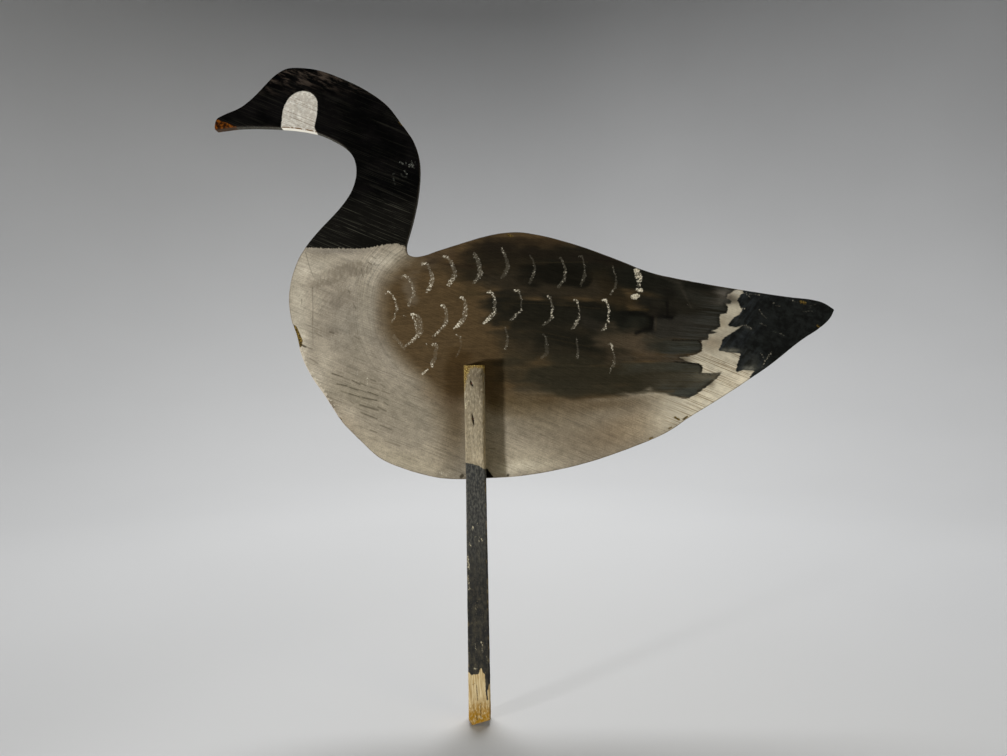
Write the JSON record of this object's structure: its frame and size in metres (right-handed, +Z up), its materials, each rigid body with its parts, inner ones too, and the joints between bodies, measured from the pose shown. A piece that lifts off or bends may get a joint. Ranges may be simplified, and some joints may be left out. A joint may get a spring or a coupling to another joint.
{
  "type": "goose decoy",
  "caption": "Flat wooden silhouette of a goose, painted, nailed to a square ground stake that is pushed into the earth to hold it upright as a field decoy.",
  "frame": {"origin": "middle of the stake's foot, at the level of its lowest point", "axes": "+Z up along the stake, -X the way the goose looks, -Y the side of the board that the stake is nailed to"},
  "size_m": [0.607, 0.0288, 0.641],
  "materials": {
    "board_paint": "hand-painted plywood in black, grey, brown and off-white, satin, rubbed and scratched",
    "stake_wood": "rough sawn stake, worn grey and charcoal paint, bare yellow wood at the foot",
    "nail_steel": "dark, dull, lightly rusted"
  },
  "bodies": {
    "root": {"goose_board": "board_paint", "ground_stake": "stake_wood", "nail_upper": "nail_steel", "nail_lower": "nail_steel"}
  },
  "joints": []
}
